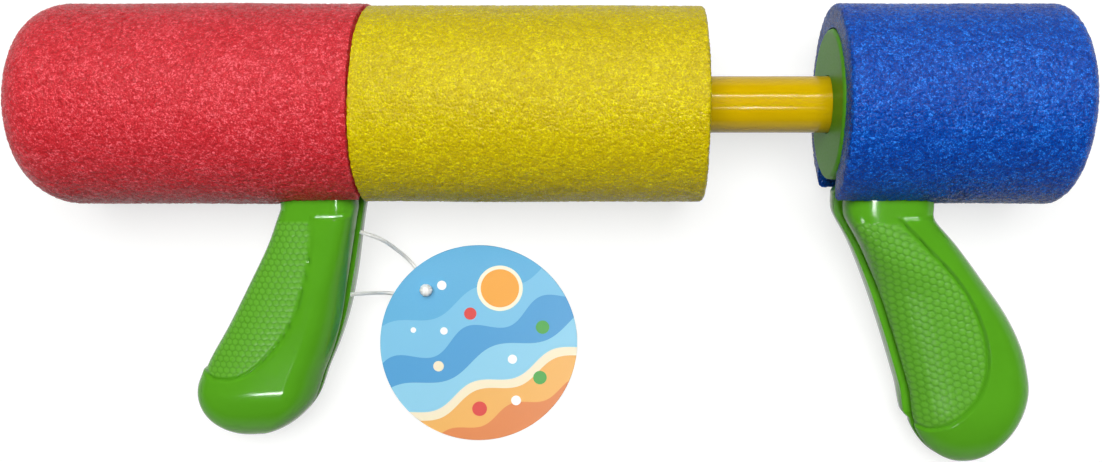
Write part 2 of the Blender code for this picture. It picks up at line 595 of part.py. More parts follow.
def tag_pieces(roll, card, nylon, plan):
    # the tag lies on the floor, its hole's side propped up by the loop below it
    toward = Vector((cos(TAG_HOLE_TURN), sin(TAG_HOLE_TURN), 0))
    lean = Matrix.Rotation(TAG_LIFT, 4, Vector((toward.y, -toward.x, 0)))
    middle_height = TAG_RADIUS * sin(TAG_LIFT) + SEAT_GAP
    frame = Matrix.Translation((*TAG_CENTRE, middle_height)) @ lean
    hole_place = toward * (TAG_RADIUS - TAG_HOLE_INSET)

    disc = bmesh.new()
    turn_profile(disc, [(0, 0), (0, TAG_RADIUS), (TAG_THICKNESS, TAG_RADIUS), (TAG_THICKNESS, 0)],
                 TAG_STEPS, False)
    upright = Matrix.Rotation(-pi / 2, 4, "Y")
    bmesh.ops.transform(disc, matrix=frame @ upright, verts=disc.verts)
    tag = piece("hang_tag", mesh_from("hang_tag", disc), card, plan)
    punch = bmesh.new()
    turn_profile(punch, [(-TAG_HOLE, 0), (-TAG_HOLE, TAG_HOLE / 2), (TAG_HOLE, TAG_HOLE / 2), (TAG_HOLE, 0)],
                 SCREW_STEPS, False)
    at_hole = frame @ Matrix.Translation(hole_place) @ upright
    bmesh.ops.transform(punch, matrix=at_hole, verts=punch.verts)
    change(tag, mesh_from("hang_tag_hole", punch), "DIFFERENCE")

    ball = bmesh.new()
    stem = TAG_HOLE / 2 - SEAT_GAP
    seat = TAG_THICKNESS + SEAT_GAP
    centre = seat + BEAD_RADIUS - BEAD_FLAT
    low_angle = acos((centre - seat) / BEAD_RADIUS)
    angles = [low_angle + (pi - low_angle) * i / ROUND_STEPS for i in range(ROUND_STEPS + 1)]
    dome = [(centre - BEAD_RADIUS * cos(a), BEAD_RADIUS * sin(a)) for a in angles]
    turn_profile(ball, [(0, 0), (0, stem), (seat, stem)] + dome, SCREW_STEPS, False)
    bmesh.ops.transform(ball, matrix=at_hole, verts=ball.verts)
    piece("tag_bead", mesh_from("tag_bead", ball), nylon, plan)

    # the loop leaves the front grip's back seam, passes under the tag and its bead, and returns
    rows = through(FRONT_RIBS, RIB_STEPS)
    ends = []
    for drop in LOOP_DROPS:
        edge = np.interp(drop, [row[3] for row in rows], [row[2] for row in rows])
        x = FRONT_NECK_X + FRONT_NECK + float(edge) + LOOP_DIAMETER / 2 + SEAT_GAP
        out = FOAM_RADIUS + drop
        ends.append((x, -out * cos(roll), FOAM_RADIUS - out * sin(roll)))
    smooth = through([ends[0]] + LOOP_ROUTE + [ends[1]], ROUTE_STEPS)
    spans = [0.0]
    for near, far in zip(smooth, smooth[1:]):
        spans.append(spans[-1] + float(np.linalg.norm(far - near)))
    count = max(2, round(spans[-1] / LOOP_STEP))
    marks = np.linspace(0, spans[-1], count + 1)
    points = np.array([np.interp(marks, spans, [p[i] for p in smooth]) for i in range(3)]).T
    curve = bpy.data.curves.new("tag_loop", "CURVE")
    curve.dimensions = "3D"
    curve.bevel_depth = LOOP_DIAMETER / 2
    curve.bevel_resolution = BEVEL_STEPS
    curve.use_fill_caps = True
    spline = curve.splines.new("POLY")
    spline.points.add(len(points) - 1)
    for spot, place in zip(spline.points, points):
        spot.co = (*place, 1.0)
    piece("tag_loop", curve, nylon, plan)
    print(f"loop length {spans[-1]:.4f}, ends {ends}")


def build():
    clear_scene()
    red = material("red foam", "DE3A48", 0.55)
    yellow = material("yellow foam", "D4BE14", 0.55)
    blue = material("blue foam", "1A4CC0", 0.5)
    green = material("green plastic", "58A626", 0.3)
    yellow_plastic = material("yellow plastic", "CCA800", 0.25)
    pale_plastic = material("pale plastic", "E4E6E2", 0.3)
    rubber = material("black rubber", "1C1C1C", 0.6)
    steel = material("plated steel", "B9BABC", 0.35, 1.0)
    card = material("printed card", "62B4E0", 0.35)
    nylon = material("white nylon", "E6E6E4", 0.4)

    root = empty("squirter")
    piston_slide = empty("piston_slide", root)
    plunger_twist = empty("plunger_twist", piston_slide)
    red_foam(red, root)
    yellow_foam(yellow, root)
    barrel_pieces(pale_plastic, green, rubber, root)
    front = grip("front", FRONT_RIBS, FRONT_TIP, FRONT_NECK, FRONT_SCREWS, FRONT_NECK_X, green, steel, root)
    piston_pieces(green, rubber, piston_slide)
    rod_pieces(yellow_plastic, green, steel, plunger_twist)
    rear_pieces(green, plunger_twist)
    blue_foam(blue, plunger_twist)
    rear = grip("rear", REAR_RIBS, REAR_TIP, REAR_NECK, REAR_SCREWS, REAR_NECK_X, green, steel, plunger_twist)

    roll = roll_to_floor((front, rear))
    nodes = [thing for thing in bpy.data.objects if thing.type == "MESH" and not thing.hide_render]
    rest_on_origin(root, roll, nodes)
    plan = empty("floor_plan")
    plan.location = (root.location.x, root.location.y, 0)
    tag_pieces(roll, card, nylon, plan)
    print(f"roll {roll:.5f}, axis at {tuple(round(v, 6) for v in root.location)}")
    print(f"push travel {PUSH_TRAVEL:.5f}, pull travel {PULL_TRAVEL:.5f}")


build()
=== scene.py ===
import json
from math import atan2, cos, pi, radians, sin

import bmesh
import bpy
import numpy as np
from mathutils import Matrix, Vector


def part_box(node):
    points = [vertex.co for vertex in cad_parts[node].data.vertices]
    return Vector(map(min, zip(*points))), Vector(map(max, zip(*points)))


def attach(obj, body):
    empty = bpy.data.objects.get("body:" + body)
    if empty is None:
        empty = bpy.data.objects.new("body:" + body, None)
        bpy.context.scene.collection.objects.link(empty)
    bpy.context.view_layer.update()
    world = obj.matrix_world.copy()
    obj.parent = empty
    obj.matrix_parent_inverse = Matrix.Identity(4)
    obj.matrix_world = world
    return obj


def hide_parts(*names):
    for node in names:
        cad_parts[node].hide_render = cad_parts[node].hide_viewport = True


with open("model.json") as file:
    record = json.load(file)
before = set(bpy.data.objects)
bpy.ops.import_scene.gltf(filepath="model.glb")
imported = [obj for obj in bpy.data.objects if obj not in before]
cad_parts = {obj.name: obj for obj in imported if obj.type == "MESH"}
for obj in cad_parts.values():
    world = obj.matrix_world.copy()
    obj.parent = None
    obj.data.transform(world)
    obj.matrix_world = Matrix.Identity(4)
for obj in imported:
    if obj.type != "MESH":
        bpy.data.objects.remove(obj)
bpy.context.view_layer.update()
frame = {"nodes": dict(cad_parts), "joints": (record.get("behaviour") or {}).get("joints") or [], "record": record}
nodes = frame["nodes"]
mm = 0.001

# the squirter's own frame: X along the barrel, grips towards -Z, -Y up once it lies on the floor
axisPoint = Vector(next(j["pos_m"] for j in frame["joints"] if j["name"] == "plunger_twist"))
upOfGrip = next(m["axis"] for m in frame["record"]["mounts"] if m["name"] == "front_hand_grip")
layDown = Matrix.Translation(axisPoint) @ Matrix.Rotation(atan2(-upOfGrip[1], upOfGrip[2]) - pi / 2, 4, "X")

cameraSet = {
    "pictureWidth": 1102,      # pixels
    "focalLength": 1095,       # pixels
    "aboveAxis": 329,          # mm from the barrel's axis up to the lens
    "aimTowardsGrips": 38.0,   # mm from the axis to the middle of the picture
    "standRight": 14,          # mm that the lens stands towards the tail, as the picture is cut off-centre
    "slide": 0.5,              # pixels that the picture is shifted beyond that
    "sensor": 36.0,            # mm
}


def makeCamera():
    lens = bpy.data.cameras.new("photoCamera")
    lens.sensor_fit = "HORIZONTAL"
    lens.sensor_width = cameraSet["sensor"]
    lens.lens = cameraSet["sensor"] * cameraSet["focalLength"] / cameraSet["pictureWidth"]
    toSide = cameraSet["standRight"] * cameraSet["focalLength"] / cameraSet["aboveAxis"] + cameraSet["slide"]
    lens.shift_x = -toSide / cameraSet["pictureWidth"]
    camera = bpy.data.objects.new("photoCamera", lens)
    stand = (cameraSet["standRight"], -cameraSet["aimTowardsGrips"], cameraSet["aboveAxis"])
    camera.location = axisPoint + Vector(stand) * mm
    bpy.context.scene.collection.objects.link(camera)
    bpy.context.scene.camera = camera


makeCamera()
print("camera placed")


def linear(hexColour):
    channels = [int(hexColour[i:i + 2], 16) / 255 for i in (1, 3, 5)]
    return [c / 12.92 if c <= 0.04045 else ((c + 0.055) / 1.055) ** 2.4 for c in channels] + [1.0]


def addNode(tree, kind, settings=None, links=None):
    # links hold either an output to join or a plain value for that socket
    made = tree.nodes.new(kind)
    for name, value in (settings or {}).items():
        setattr(made, name, value)
    for socket, source in (links or {}).items():
        if isinstance(source, bpy.types.NodeSocket):
            tree.links.new(source, made.inputs[socket])
        else:
            made.inputs[socket].default_value = source
    return made


def noiseOf(tree, place, size, detail):
    # noise with patches of about the given size in mm
    return addNode(tree, "ShaderNodeTexNoise", {},
                   {"Vector": place, "Scale": 1 / (size * mm), "Detail": detail}).outputs["Fac"]


def mixColours(tree, share, first, second):
    return addNode(tree, "ShaderNodeMix", {"data_type": "RGBA"}, {0: share, 6: first, 7: second}).outputs[2]


def mixValues(tree, share, first, second):
    return addNode(tree, "ShaderNodeMix", {"data_type": "FLOAT"}, {0: share, 2: first, 3: second}).outputs[0]


def reckon(tree, operation, *values):
    return addNode(tree, "ShaderNodeMath", {"operation": operation}, dict(enumerate(values))).outputs[0]


def spread(tree, value, low, high, lowFrom=0.3, highFrom=0.7):
    # most of a noise lies between 0.3 and 0.7
    return addNode(tree, "ShaderNodeMapRange", {},
                   {"Value": value, "From Min": lowFrom, "From Max": highFrom,
                    "To Min": low, "To Max": high}).outputs["Result"]


def addBump(tree, shader, height, strength, tall):
    bump = addNode(tree, "ShaderNodeBump", {},
                   {"Height": height, "Strength": strength, "Distance": tall * mm})
    tree.links.new(bump.outputs["Normal"], shader.inputs["Normal"])


def startMaterial(name, roughness, ior, metallic=0.0):
    made = bpy.data.materials.new(name)
    made.use_nodes = True
    shader = made.node_tree.nodes["Principled BSDF"]
    shader.inputs["Roughness"].default_value = roughness
    shader.inputs["IOR"].default_value = ior
    shader.inputs["Metallic"].default_value = metallic
    return made, made.node_tree, shader


def through(points, steps):
    # smooth curve through the points, with the given steps between two of them
    points = [np.array(p, dtype=float) for p in points]
    tangents = [(points[min(i + 1, len(points) - 1)] - points[max(i - 1, 0)]) / 2
                for i in range(len(points))]
    curve = []
    for start, end, go, come in zip(points, points[1:], tangents, tangents[1:]):
        for i in range(steps):
            t = i / steps
            curve.append(start * (1 - t) ** 2 * (1 + 2 * t) + end * t ** 2 * (3 - 2 * t)
                         + go * t * (1 - t) ** 2 - come * t ** 2 * (1 - t))
    return np.array(curve + [points[-1]])


def evenly(points, step):
    # the same line with its points a step apart
    run = np.concatenate([[0], np.cumsum(np.linalg.norm(np.diff(points, axis=0), axis=1))])
    marks = np.linspace(0, run[-1], max(2, round(run[-1] / step) + 1))
    return np.array([np.interp(marks, run, column) for column in points.T]).T


def easeIn(x):
    x = np.clip(x, 0, 1)
    return x * x * (3 - 2 * x)


def meshOf(name, corners, faces, marks=None):
    # marks name a value for each corner, which a material can read
    shape = bmesh.new()
    made = bpy.data.meshes.new(name)
    made.from_pydata([tuple(c) for c in corners], [], faces)
    for mark, values in (marks or {}).items():
        made.attributes.new(mark, "FLOAT", "POINT").data.foreach_set("value", values.astype(np.float32))
    shape.from_mesh(made)
    bmesh.ops.remove_doubles(shape, verts=shape.verts, dist=0.002 * mm)
    bmesh.ops.recalc_face_normals(shape, faces=shape.faces)
    shape.to_mesh(made)
    shape.free()
    return made


def addPiece(name, mesh, finishes, body, stoodFor=()):
    made = bpy.data.objects.new(name, mesh)
    for finish in finishes:
        mesh.materials.append(finish)
    bpy.context.scene.collection.objects.link(made)
    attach(made, body)
    if stoodFor:
        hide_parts(*stoodFor)
    return made


def reshape(mesh, helpers, sharpAngle):
    # cuts or joins a mesh with helper meshes in the same frame, as (operation, mesh) pairs
    target = bpy.data.objects.new("work", mesh)
    bpy.context.scene.collection.objects.link(target)
    tools = []
    for operation, helper in helpers:
        tool = bpy.data.objects.new("workTool", helper)
        bpy.context.scene.collection.objects.link(tool)
        step = target.modifiers.new(operation, "BOOLEAN")
        step.operation = operation
        step.object = tool
        step.solver = "EXACT"
        tools.append(tool)
    bpy.context.view_layer.update()
    seen = target.evaluated_get(bpy.context.evaluated_depsgraph_get())
    made = bpy.data.meshes.new_from_object(seen)
    for thing in [target] + tools:
        bpy.data.objects.remove(thing, do_unlink=True)
    made.name = mesh.name
    made.materials.clear()
    made.shade_smooth()
    made.set_sharp_from_angle(angle=radians(sharpAngle))
    return made


def lathe(profile, steps, axis="X", centre=(0, 0, 0), closed=True):
    # corners and faces of a profile of (along, radius) turned about X or Y, in mm
    corners = []
    for along, radius in profile:
        for k in range(steps):
            angle = 2 * pi * k / steps
            if axis == "X":
                spot = (along, radius * sin(angle), radius * cos(angle))
            else:
                spot = (radius * sin(angle), along, radius * cos(angle))
            corners.append([(c + s) * mm for c, s in zip(centre, spot)])
    faces = []
    last = len(profile) if closed else len(profile) - 1
    for i in range(last):
        j = (i + 1) % len(profile)
        for k in range(steps):
            n = (k + 1) % steps
            faces.append((i * steps + k, i * steps + n, j * steps + n, j * steps + k))
    return corners, faces


foamSkin = {
    "grain": 0.76,         # mm between the points of the pebbled skin
    "relief": 0.30,        # mm between its highest and lowest points
    "scatter": 0.3,        # share of the grain that a point strays sideways
    "calmRadius": 20.0,    # mm from the axis inside which the relief gets finer
    "swell": (0.07, 9.0, 14.0),   # mm, height of two slow waves, and their run along the sleeve per radian
    "cutRun": 6.0,         # mm along the sleeve over which an uneven cut end dies out
    "cutGrain": 0.16,      # mm, roughness of a cut face
    "cutFull": 24.0,       # mm from the axis where a cut face reaches that roughness
    "faceStep": 1.2,       # mm between the rings of a cut face
    "wrinkle": 0.45,       # mm, fine creases of the skin
    "cell": 0.9,           # mm, foam cells under the skin, a little lighter or darker
    "blotch": 16.0,        # mm, patches of slightly other shade
    "height": 0.6,         # mm, how deep the skin's bump reads
    "fullness": 2.0,       # how full the rounded ends are: 2 is an ellipse
    "roughness": (0.18, 0.34),
    "specular": 0.1,       # a broken skin mirrors less than a smooth one
    "speckRange": (0.36, 0.66),   # part of the creases' noise that runs from dark to light
    "speckShare": 0.58,    # share of the creases in the shade, beside the cells
    "blotchShare": 0.2,    # share of the patches in it
    "shades": (0.12, 0.58, 0.86),   # where the deep, middle and pale colour lie in it; the pale end is a painted glint
}


def extrudedPolyethyleneFoam(name, deep, middle, pale):
    # closed-cell foam with a moulded skin: pebbled and satin, so that each cell catches a small glint; the palest
    # specks of its colour are painted glints
    made, tree, shader = startMaterial(name, roughness=0.3, ior=1.5)
    shader.inputs["Specular IOR Level"].default_value = foamSkin["specular"]
    place = addNode(tree, "ShaderNodeTexCoord").outputs["Object"]
    cells = addNode(tree, "ShaderNodeTexVoronoi", {}, {"Vector": place, "Scale": 1 / (foamSkin["cell"] * mm)})
    cellShade = addNode(tree, "ShaderNodeSeparateColor", {}, {"Color": cells.outputs["Color"]})
    blotches = noiseOf(tree, place, foamSkin["blotch"], 3.0)
    wrinkles = noiseOf(tree, place, foamSkin["wrinkle"], 2.0)
    specks = spread(tree, wrinkles, 0.0, 1.0, *foamSkin["speckRange"])
    pebbles = mixValues(tree, foamSkin["speckShare"], cellShade.outputs["Red"], specks)
    tone = mixValues(tree, foamSkin["blotchShare"], pebbles, blotches)
    # the rare pale specks at the top of the ramp are painted glints, the rest is the cells' random tone
    ramp = addNode(tree, "ShaderNodeValToRGB", {}, {"Fac": tone})
    deepAt, middleAt, paleGlintAt = foamSkin["shades"]
    ramp.color_ramp.elements[0].position = deepAt
    ramp.color_ramp.elements[0].color = linear(deep)
    ramp.color_ramp.elements[1].position = paleGlintAt
    ramp.color_ramp.elements[1].color = linear(pale)
    ramp.color_ramp.elements.new(middleAt).color = linear(middle)
    tree.links.new(ramp.outputs["Color"], shader.inputs["Base Color"])
    low, high = foamSkin["roughness"]
    tree.links.new(spread(tree, wrinkles, high, low), shader.inputs["Roughness"])
    domes = reckon(tree, "SUBTRACT", 1.0, cells.outputs["Distance"])
    addBump(tree, shader, mixValues(tree, 0.5, domes, wrinkles), 1.0, foamSkin["height"])
    return made


def cutEnd(cut, angle):
    # a hand-cut end is never quite square: it waves, and it leans from the grips' side to the far side
    wave, shift, lean = cut
    return wave * (0.6 * np.sin(2 * angle + 0.7) + 0.4 * np.sin(5 * angle + 2)) + shift + lean * np.cos(angle)


def sleeveMesh(name, low, high, sleeve):
    # the skin is a net of small triangles whose points lie a little higher or lower, as pebbled foam does
    draw = np.random.default_rng(sleeve["seed"])
    start, end, radius = low.x / mm - sleeve.get("reach", 0), high.x / mm, sleeve["radius"]
    turn = np.linspace(0, pi / 2, 60)
    (frontLong, frontDeep), (backLong, backDeep) = sleeve["frontRound"], sleeve["backRound"]
    full = 2 / foamSkin["fullness"]
    nose = np.stack([start + frontLong * (1 - np.cos(turn) ** full),
                     radius - frontDeep * (1 - np.sin(turn) ** full)], 1)
    tail = np.stack([end - backLong * (1 - np.sin(turn) ** full),
                     radius - backDeep * (1 - np.cos(turn) ** full)], 1)
    outline = np.concatenate([nose, tail])
    around = round(2 * pi * radius / foamSkin["grain"])
    run = np.concatenate([[0], np.cumsum(np.linalg.norm(np.diff(outline, axis=0), axis=1))])
    rowStep = foamSkin["grain"] * 0.866   # height of a triangle with even sides
    rows = round(run[-1] / rowStep)
    slope = np.gradient(outline, run, axis=0)

    def onSkin(along, angle, sink):
        along = np.clip(along, 0, run[-1])
        x, r = (np.interp(along, run, outline[:, i]) for i in (0, 1))
        dx, dr = (np.interp(along, run, slope[:, i]) for i in (0, 1))
        size = np.hypot(dx, dr)
        sink = sink * np.clip(r / foamSkin["calmRadius"], 0.2, 1)   # finer where the net draws together
        tall, fast, slow = foamSkin["swell"]
        swell = tall * (np.sin(3 * angle + x / fast) + np.sin(2 * angle - x / slow + 1) - 2)
        x = x + dr / size * (sink - swell)
        r = r - dx / size * (sink - swell)
        for at, cut in ((start, sleeve["frontCut"]), (end, sleeve["backCut"])):
            edge = np.exp(-np.abs(x - at) / foamSkin["cutRun"])
            x = x + edge * cutEnd(cut, angle)
        return np.stack([x, r * np.sin(angle), r * np.cos(angle)], -1)

    i, j = np.meshgrid(np.arange(rows + 1), np.arange(around), indexing="ij")
    stray = draw.uniform(-1, 1, (2, rows + 1, around)) * foamSkin["scatter"] * ((i > 0) & (i < rows))
    along = run[-1] / rows * (i + stray[0])
    angle = 2 * pi / around * (j + 0.5 * (i % 2) + stray[1])
    corners = [onSkin(along, angle, foamSkin["relief"] * draw.uniform(0, 1, i.shape)).reshape(-1, 3)]
    point = np.arange(i.size).reshape(i.shape)
    faces = []
    for k in range(rows):
        here, there = point[k], point[k + 1]
        nextHere, nextThere = np.roll(here, -1), np.roll(there, -1)
        if k % 2:
            faces += list(zip(here, nextHere, nextThere)) + list(zip(here, nextThere, there))
        else:
            faces += list(zip(here, nextHere, there)) + list(zip(nextHere, nextThere, there))
    count = i.size

    # cut ends and bore: rings from the front rim through the bore to the back rim
    rim = radius - frontDeep, radius - backDeep
    inner = sleeve["bore"]
    mouths = inner[0][1], inner[-1][1]
    frontRings, backRings = (max(2, round(abs(a - b) / foamSkin["faceStep"])) + 1
                             for a, b in zip(rim, mouths))
    facing = [(start, r) for r in np.linspace(rim[0], mouths[0], frontRings)[1:-1]]
    facing += [(start + x if x >= 0 else end + x, r) for x, r in inner]
    facing += [(end, r) for r in np.linspace(mouths[1], rim[1], backRings)[1:-1]]
    before = point[0]
    for x, r in facing:
        inward = 1 if x == start else -1 if x == end else 0
        grain = draw.uniform(0, foamSkin["cutGrain"], around) * min(1, r / foamSkin["cutFull"]) * inward
        cut = sleeve["frontCut"] if x == start else sleeve["backCut"] if x == end else (0, 0, 0)
        theta = 2 * pi / around * np.arange(around)
        corners.append(np.stack([x + grain + cutEnd(cut, theta), r * np.sin(theta), r * np.cos(theta)], -1))
        ring = count + np.arange(around)
        count += around
        faces += list(zip(before, np.roll(before, -1), np.roll(ring, -1), ring))
        before = ring
    faces += list(zip(before, np.roll(before, -1), np.roll(point[rows], -1), point[rows]))
    return meshOf(name, np.concatenate(corners) * mm, [tuple(int(v) for v in f) for f in faces])


def sectionPoint(angle, lead, trail, crest):
    # a rounded section: across the grip from 1 at the leading edge to -1, and its thickness, 1 at the crest
    across, thick = np.cos(angle), np.abs(np.sin(angle))
    power = 2 / np.where(across > 0, lead, trail)
    side = np.sign(across) * np.abs(across) ** power
    return crest + side * np.where(across > 0, 1 - crest, 1 + crest), thick ** power


def neckSlot(name, grip, closedEnd):
    # cutter for a neck: its section with clearance, run out past the foam's cut end
    half = grip["neck"] / 2 + grip["slotGap"]
    width = grip["halfThick"] + grip["slotGap"]
    middle = grip["neckX"] + grip["neck"] / 2
    outline = []
    for angle in np.linspace(-pi / 2, pi / 2, 41):
        across, thick = sectionPoint(angle, grip["neckSquare"], grip["neckSquare"], 0)
        outline.append((middle + closedEnd * half * across, width * thick * np.sign(angle)))
    runOut = middle - closedEnd * grip["neck"]
    outline += [(runOut, width), (runOut, -width)]
    corners = [(x * mm, y * mm, -z * mm) for z in gripSkin["slotReach"] for x, y in outline]
    n = len(outline)
    faces = [(k, (k + 1) % n, n + (k + 1) % n, n + k) for k in range(n)]
    return meshOf(name, corners, faces + [tuple(range(n)), tuple(range(n, 2 * n))])


frontGrip = {
    "neckX": -82.15, "neck": 23.7,     # mm, front of the neck along the barrel, and its length
    "halfThick": 12.0, "foam": 30.0,   # mm, half the thickness, and the foam's radius
    # mm: leading edge from the neck's front and its drop below the foam,
    # trailing edge from the neck's back and its drop
    "ribs": [(0, 0.5, 0, 0.5), (-1.2, 3.5, -0.7, 4), (-4.7, 12, -2.4, 13), (-11, 24, -4.4, 24),
             (-17.8, 36.5, -6.5, 35), (-24.4, 47.5, -9.4, 45), (-28.8, 57, -13.6, 55)],
    "tip": (-11.8, 74.2), "tipPoint": 1.12,   # the tip, and how pointed it is: 1 is an ellipse
    "lipEnd": (18, 36),                # mm below the foam where the lower half draws in, and over what run
    "neckSquare": 3.8, "leadSquare": 4.2, "trailSquare": 2.0,   # how square the section is: 2 is an ellipse
    "lowSquare": 6.5, "lowTip": 2.9,   # the lower half's squareness under the neck and at the tip
    "lowRound": (22, 44),              # mm below the foam where it starts to change, and over what run
    "lowLip": (0, 1.1),                # mm that the lower half stands out along the leading and trailing edge
    "crest": -0.45,                    # where it is thickest: 1 is the leading edge, -1 the trailing edge
    "upperInset": (0.3, 1.4),          # mm that the upper half draws in at the leading and trailing edge
    "combPitch": 2.05, "combTurn": 0,  # mm between honeycomb bumps, and degrees that their rows turn
    "slotGap": 0.3,                    # mm between the neck and its slot in the foam
    "ledge": 32.2,                     # mm below the axis where the smooth back starts
    # edge between the honeycomb and the smooth back, in mm: along the barrel, below the axis
    "panelEdge": [(-70.6, 20), (-70.6, 32.4), (-71.2, 41.6), (-73.0, 50.8), (-76.7, 62.0), (-81.1, 69.7),
                  (-87.4, 77.0), (-92.7, 81.2), (-97.8, 83.1), (-102.8, 83.3), (-106.5, 82.0), (-114, 77.5)],
    "screws": [(8.5, 12), (-0.5, 35), (-9, 57)],   # mm from the neck's front, below the foam
}
rearGrip = {
    "neckX": 87.15, "neck": 28.0,
    "halfThick": 12.0, "foam": 30.0,
    "ribs": [(0, 0.5, 0, 0.5), (1, 4.5, 0.8, 4.5), (6.3, 13.7, 8, 12.5), (11.8, 26, 17.2, 24),
             (16.6, 38.8, 25.2, 35), (20.6, 50.5, 30.8, 46), (24, 61, 33.8, 57.5)],
    "tip": (43.2, 83.45), "tipPoint": 1.12, "lipEnd": (68, 3),
    "neckSquare": 3.8, "leadSquare": 2.0, "trailSquare": 2.4, "crest": -0.42,
    "combPitch": 2.35, "combTurn": 17,
    "lowSquare": 6.5, "lowTip": 2.9, "lowRound": (52, 22), "lowLip": (2.0, 0),
    "upperInset": (0.9, 0.4),
    "slotGap": 0.3,
    "ledge": 32.8,
    "panelEdge": [(98, 24), (103.3, 32.2), (112.1, 41.2), (120.7, 49.9), (126.7, 58.2), (131.2, 68.3),
                  (133.0, 76.8), (132.6, 83.6), (130.6, 89.9), (126.6, 95.7), (122.4, 99.2), (118.1, 101.2),
                  (114.8, 101.2), (111.0, 99.4), (104, 94)],
    "screws": [(20.5, 12), (34, 35), (42, 60)],
}
gripSkin = {
    "grain": 0.36,         # mm between mesh points
    "recess": 0.6,         # mm that the honeycomb panel and neck lie below the smooth back
    "edge": 0.55,          # mm over which the step between them rounds
    "ledgeRun": 1.6,       # mm over which the smooth back rises under the neck
    "groove": 0.30,        # mm, line pressed along the panel's edge
    "grooveAt": (0.55, 0.3),   # mm inside the panel's edge, and half its width
    "bump": 0.12,          # mm, height of a honeycomb bump
    "bumpFlat": 0.6,       # share of a bump that is flat
    "combRim": (0.9, 0.7),     # mm inside the panel's edge where the bumps start, and over what run
    "combTop": (1.2, 0.8),     # mm below the ledge where they start, and over what run
    # how far the skin faces out from the seam's plane where the bumps and the neck's recess start,
    # with 1 straight out, and over what run
    "combTurned": (0.25, 0.35), "neckTurned": (0.3, 0.4),
    "split": 0.3,          # mm between the two halves
    "partingRound": (0.3, 0.45),   # mm, depth and width of the rounded edge along the seam
    "partingStep": (0.28, 3.2),    # mm that the upper half draws in there, and over what run
    "insetRun": 3.0,       # mm from the seam over which upperInset dies out
    "tipCalm": 0.25,       # share of the full thickness under which the relief dies out at the tip
    "slotReach": (9.0, 60.0),   # mm below the axis that the neck's slot runs from and to
    "neckTop": 20.0,       # mm below the axis where the neck starts inside the foam
    "neckEnd": 0.3,        # mm below the foam where its straight rows stop
    "neckRows": 10,
    "neckEase": (2.0, 26.0),   # mm below the foam where the neck's section changes, and over what run
    "lipStart": (24.0, 3.0),   # mm below the axis where the lower half stands out, and over what run
    "shy": 0.1,            # mm that the plain skin stays within the thickness
    "rowStretch": 1.25,    # grains from one row to the next
    "tipDense": 1.25,      # rows in the rounded end for each grain of its length
    "easeRows": 16,        # rows over which the outline eases into its rounded end
    "typical": (2.5, -0.3, 16.5),   # section that spaces the columns: squareness, crest, half width in mm
}


def honeycomb(x, y, pitch, turn):
    # 1 on the flat of each bump, 0 in the lines between them
    x, y = x * cos(turn) + y * sin(turn), y * cos(turn) - x * sin(turn)
    row = pitch * 3 ** 0.5
    spots = [(np.round(x / pitch) * pitch, np.round(y / row) * row),
             ((np.floor(x / pitch) + 0.5) * pitch, (np.floor(y / row) + 0.5) * row)]
    away = [np.hypot(x - a, y - b) for a, b in spots]
    near = away[0] < away[1]
    dx = np.where(near, x - spots[0][0], x - spots[1][0])
    dy = np.where(near, y - spots[0][1], y - spots[1][1])
    reach = np.max([np.abs(dx * cos(a) + dy * sin(a)) for a in (0, pi / 3, 2 * pi / 3)], axis=0)
    flat = gripSkin["bumpFlat"]
    return 1 - easeIn((reach / (pitch / 2) - flat) / (1 - flat))


def gripRelief(grip, x, drop, facing):
    # height over the plain skin in mm, from where a point lies on the grip's side,
    # and two marks for the material: 1 in the pressed lines, where it paints shade, and 1 on the honeycomb panel,
    # which it makes duller and paints paler as a sheen
    line = evenly(through(grip["panelEdge"], 12), 0.8)
    go = np.diff(line, axis=0)
    size = np.linalg.norm(go, axis=1)
    inside = np.full(x.shape, -1e3)
    nearest = np.full(x.shape, 1e6)
    for (ax, ay), (gx, gy), length in zip(line, go, size):
        t = np.clip(((x - ax) * gx + (drop - ay) * gy) / length ** 2, 0, 1)
        away = np.hypot(x - ax - t * gx, drop - ay - t * gy)
        side = gx * (drop - ay) - gy * (x - ax)
        closer = away < nearest
        nearest = np.where(closer, away, nearest)
        inside = np.where(closer, np.where(side > 0, away, -away), inside)
    below = drop - grip["ledge"]
    edge = gripSkin["edge"]
    panel = easeIn(inside / edge + 0.5)
    body = easeIn(below / gripSkin["ledgeRun"] + 0.5)
    comb = honeycomb(x, drop, grip["combPitch"], radians(grip["combTurn"]))
    starts = {"combRim": inside, "combTop": below, "combTurned": facing, "neckTurned": facing}
    rise = {name: easeIn((value - gripSkin[name][0]) / gripSkin[name][1]) for name, value in starts.items()}
    inPanel = rise["combRim"] * rise["combTop"] * rise["combTurned"]
    middle, width = gripSkin["grooveAt"]
    groove = gripSkin["groove"] * np.exp(-((inside - middle) / width) ** 2) * body
    neckStep = (1 - body) * rise["neckTurned"]   # dies out round the corner of the neck
    # painted shade in the honeycomb lines and in the groove along the panel's edge
    paintedGrooveShade = inPanel * (1 - comb) + groove / gripSkin["groove"]
    lift = gripSkin["bump"] * inPanel * comb - gripSkin["recess"] * np.maximum(panel, neckStep) - groove
    return lift, {"paintedGrooveShade": paintedGrooveShade.ravel(), "panel": inPanel.ravel()}


